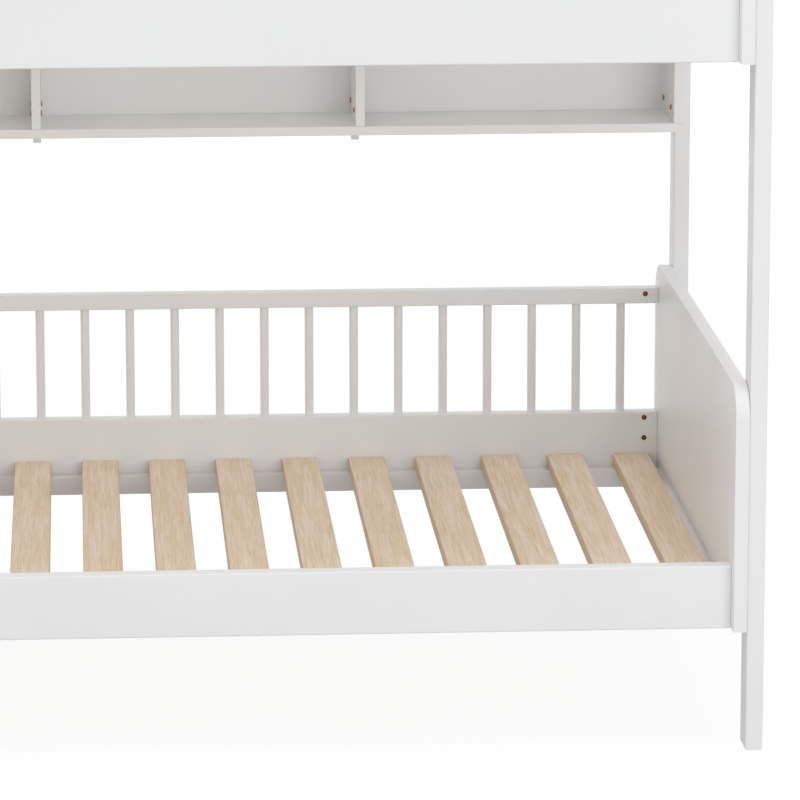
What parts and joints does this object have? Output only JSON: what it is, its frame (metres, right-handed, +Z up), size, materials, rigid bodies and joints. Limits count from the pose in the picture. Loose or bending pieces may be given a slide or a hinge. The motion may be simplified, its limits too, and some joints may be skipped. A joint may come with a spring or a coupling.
{
  "type": "bunk bed",
  "caption": "White bunk bed with solid round-cornered end panels, spindle guards, bare wood slats, an open shelf under the upper bed and a built-in ladder.",
  "frame": {"origin": "on the floor, under the middle of the bed", "axes": "+X along the length towards the right-hand end, -Y towards the open front with the ladder, +Z up"},
  "size_m": [2.0976, 1.013, 1.3705],
  "materials": {
    "white_paint": "white satin paint on wood, smooth, no grain showing",
    "slat_wood": "bare planed light wood with fine straight grain along the slat",
    "fastener_bronze": "brown bronze barrel nuts and bolt heads"
  },
  "bodies": {
    "root": {"post_front_left": "white_paint", "post_front_right": "white_paint", "post_back_left": "white_paint", "post_back_right": "white_paint", "lower_end_panel_left": "white_paint", "lower_end_panel_right": "white_paint", "upper_end_panel_left": "white_paint", "upper_end_panel_right": "white_paint", "lower_front_rail": "white_paint", "lower_back_rail": "white_paint", "upper_front_rail": "white_paint", "upper_back_rail": "white_paint", "lower_back_guard": "white_paint", "upper_back_guard": "white_paint", "upper_front_guard": "white_paint", "lower_front_ledger": "white_paint", "lower_back_ledger": "white_paint", "upper_front_ledger": "white_paint", "upper_back_ledger": "white_paint", "shelf_floor": "white_paint", "shelf_back": "white_paint", "shelf_end_left": "white_paint", "shelf_end_right": "white_paint", "shelf_divider_left": "white_paint", "shelf_divider_middle": "white_paint", "shelf_divider_right": "white_paint", "shelf_batten_left": "white_paint", "shelf_batten_middle": "white_paint", "shelf_batten_right": "white_paint", "ladder_stile_left": "white_paint", "ladder_stile_right": "white_paint", "ladder_rung_1": "white_paint", "ladder_rung_2": "white_paint", "ladder_rung_3": "white_paint", "ladder_rung_4": "white_paint", "lower_slat_01": "slat_wood", "lower_slat_02": "slat_wood", "lower_slat_03": "slat_wood", "lower_slat_04": "slat_wood", "lower_slat_05": "slat_wood", "lower_slat_06": "slat_wood", "lower_slat_07": "slat_wood", "lower_slat_08": "slat_wood", "lower_slat_09": "slat_wood", "lower_slat_10": "slat_wood", "lower_slat_11": "slat_wood", "lower_slat_12": "slat_wood", "lower_slat_13": "slat_wood", "lower_slat_14": "slat_wood", "lower_slat_15": "slat_wood", "lower_slat_16": "slat_wood", "lower_slat_17": "slat_wood", "lower_slat_18": "slat_wood", "lower_slat_19": "slat_wood", "upper_slat_set": "slat_wood"}
  },
  "joints": []
}
